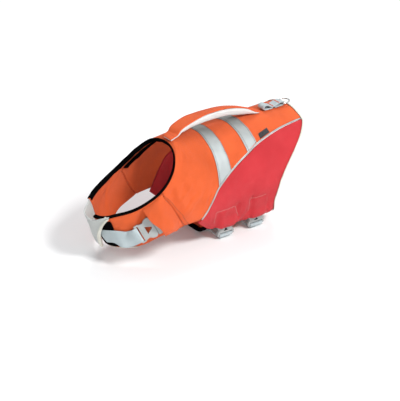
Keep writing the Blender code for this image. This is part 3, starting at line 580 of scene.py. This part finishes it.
def along_strap(piece, ways, height=0.06):
    """Rows of points and normals where straight rows in x and y fall onto a piece from above."""
    tree = BVHTree.FromObject(piece, bpy.context.evaluated_depsgraph_get())
    rows = []
    for (x0, y0), (x1, y1) in ways:
        count = max(2, int(math.hypot(x1 - x0, y1 - y0) / 0.0015))
        first, last = Vector((x0, y0, height)), Vector((x1, y1, height))
        drops = [first.lerp(last, k / count) for k in range(count + 1)]
        found = [tree.ray_cast(drop, Vector((0, 0, -1))) for drop in drops]
        rows.append([(point, up) for point, up, _, _ in found if point])
    return rows


orange_thread = spun("orange thread", (0.42, 0.055, 0.015), (0.56, 0.085, 0.025))
stitched("handle_stitches", along_strap(strap, (
    ((-0.100, -0.0098), (0.064, -0.0098)), ((-0.100, 0.0098), (0.064, 0.0098)),
    ((-0.1155, -0.0095), (-0.1155, 0.0095)), ((-0.109, 0.0095), (-0.109, -0.0095)),
    ((0.055, -0.0095), (0.055, 0.0095)), ((0.0645, 0.0095), (0.0645, -0.0095)))),
    orange_thread)

# Leash strap: narrow grey webbing that lies in waves behind the handle, tacked through with
# orange zigzags, its last wave looped round the ring's bar.
webbing = Look("pale grey webbing", sheen=0.2)
web_u, web_v = webbing.uv()
cords = (web_v * (math.tau / 0.0016)).math("SINE")
picks = (web_u * (math.tau / 0.0012)).math("SINE")
webbing.tint(webbing.noise(45, 4) * 0.9 + cords * picks * 0.08, (0.335, 0.395, 0.41), (0.44, 0.51, 0.53))
webbing.relief(cords * 0.5 + cords * picks * 0.5, 0.0003, 0.6)
webbing.gloss(0.55 + webbing.noise(500, 2) * 0.3)
leash = dressed("ring_strap", webbing, "grey_webbing", flat="xy", still=True)
stitched("leash_strap_tacks", along_strap(leash, [
    ((x + 0.0012 * (k % 2), -0.0072 + 0.0012 * k), (x + 0.0034, -0.0072 + 0.0012 * k))
    for x in (0.0955, 0.1085) for k in range(13)]),
    orange_thread, pitch=0.0016, length=0.0017)

# Ring: a D bent from nickel-plated wire, its straight bar held in the strap's loop, where
# it is free to swing.
nickel = Look("nickel plate", metallic=1.0)
nickel.tint(nickel.noise(120, 3), (0.58, 0.58, 0.57), (0.68, 0.68, 0.66))
nickel.gloss(0.2 + nickel.noise(400, 3) * 0.16)
dressed("d_ring", nickel, "nickel_wire", flat="xy", body="ring", still=True, crisp=0.0)

# Belly panel: one layer of the orange cloth, tucked behind the side panels and bound in
# black front and rear. Two grey webbing straps run across it to the buckles.
belly = dressed("belly_panel", orange, "orange_cloth", under=True)
for end in ("front", "rear"):
    edge = dressed("belly_binding_" + end, black, "black_cloth", under=True, crisp=0.3)
    belly_strap = dressed("belly_strap_" + end, webbing, "grey_webbing", under=True, still=True)

# Chest: the left yoke ends in a tongue bound in cream ribbon, with a black hook-and-loop
# patch sewn on. The pale flap from the right closes over both, and grey webbing runs from
# under its bound edge to the chest buckle.
tongue = dressed("tongue_binding", cream, "cream_binding", crisp=0.3)
pile = Look("black loop pile", shine=0.0)
fuzz = pile.noise(1500, 4)
pile.tint(fuzz, (0.0008, 0.0008, 0.0010), (0.004, 0.004, 0.0045))
pile.relief(fuzz, 0.0008, 1.0)
patch = dressed("loop_patch", pile, "black_cloth")
pale = woven("pale grey woven cloth", (0.46, 0.48, 0.46), (0.55, 0.57, 0.55), 0.0007, sheen=0.2)
flap = dressed("chest_flap", pale, "pale_cloth", under=True)
flap_edge = dressed("flap_binding", cream, "cream_binding", under=True, crisp=0.3)
chest_strap = dressed("chest_webbing", webbing, "grey_webbing", still=True)

# Buckles: side-release buckles moulded in grey plastic, one on the chest and two under the
# left side panel, each a pronged half pushed into a body. The walls of their hollows carry painted shade.
plastic = Look("grey moulded plastic")
plastic.tint(plastic.noise(70, 4), (0.26, 0.275, 0.27), (0.33, 0.345, 0.34))
plastic.gloss(0.34 + plastic.noise(650, 3) * 0.22)
plastic.relief(plastic.noise(1400, 2), 0.00008, 0.5)
# Near-black painted shade for the walls of the buckles' hollows and slots.
hollow_shade_paint = Look("painted shade, plastic hollows", roughness=0.6)
hollow_shade_paint.tint(hollow_shade_paint.noise(70, 4), (0.020, 0.021, 0.021), (0.032, 0.034, 0.034))
MOULDED_EDGE = 0.0006
HOLLOW_WIDTH = 0.008   # faces that look at each other across less than this are in a hollow, and get painted shade


def moulded(node, look):
    """A plastic part in the place of its solid, with the soft edges of a moulding and painted shade on the
    walls of its hollows.
    """
    body = bmesh.new()
    body.from_mesh(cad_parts[node].data)
    bmesh.ops.remove_doubles(body, verts=body.verts, dist=0.000002)
    bmesh.ops.dissolve_limit(body, angle_limit=0.02, verts=body.verts, edges=body.edges)
    edges = [e for e in body.edges if e.calc_face_angle(0) > 0.9]
    bmesh.ops.bevel(body, geom=edges, offset=MOULDED_EDGE, segments=3, profile=0.5, affect="EDGES",
                    clamp_overlap=True, material=-1)
    mesh = bpy.data.meshes.new(node + "_moulding")
    body.to_mesh(mesh)
    body.free()
    mesh.shade_smooth()
    mesh.set_sharp_from_angle(angle=math.radians(50))
    mesh.materials.append(look.material)
    mesh.materials.append(hollow_shade_paint.material)
    tree = BVHTree.FromPolygons([v.co for v in mesh.vertices], [list(f.vertices) for f in mesh.polygons])
    # Faces that meet another face across a hollow get the near-black painted shade.
    for face in mesh.polygons:
        facing = tree.ray_cast(face.center + face.normal * 0.0001, face.normal, HOLLOW_WIDTH)[0]
        face.material_index = 1 if facing else 0
    piece = bpy.data.objects.new(node + "_moulding", mesh)
    scene.collection.objects.link(piece)
    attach(piece, "jacket")
    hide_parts(node)


for place in ("chest_buckle", "belly_buckle_front", "belly_buckle_rear"):
    for part in ("_prongs", "_body"):
        moulded(place + part, plastic)

# Buckle cover: a folded strip of the orange cloth, sewn into the left yoke seam, that lies
# over the chest buckle's body and is free along its front.
cover = dressed("buckle_cover", orange, "orange_cloth")
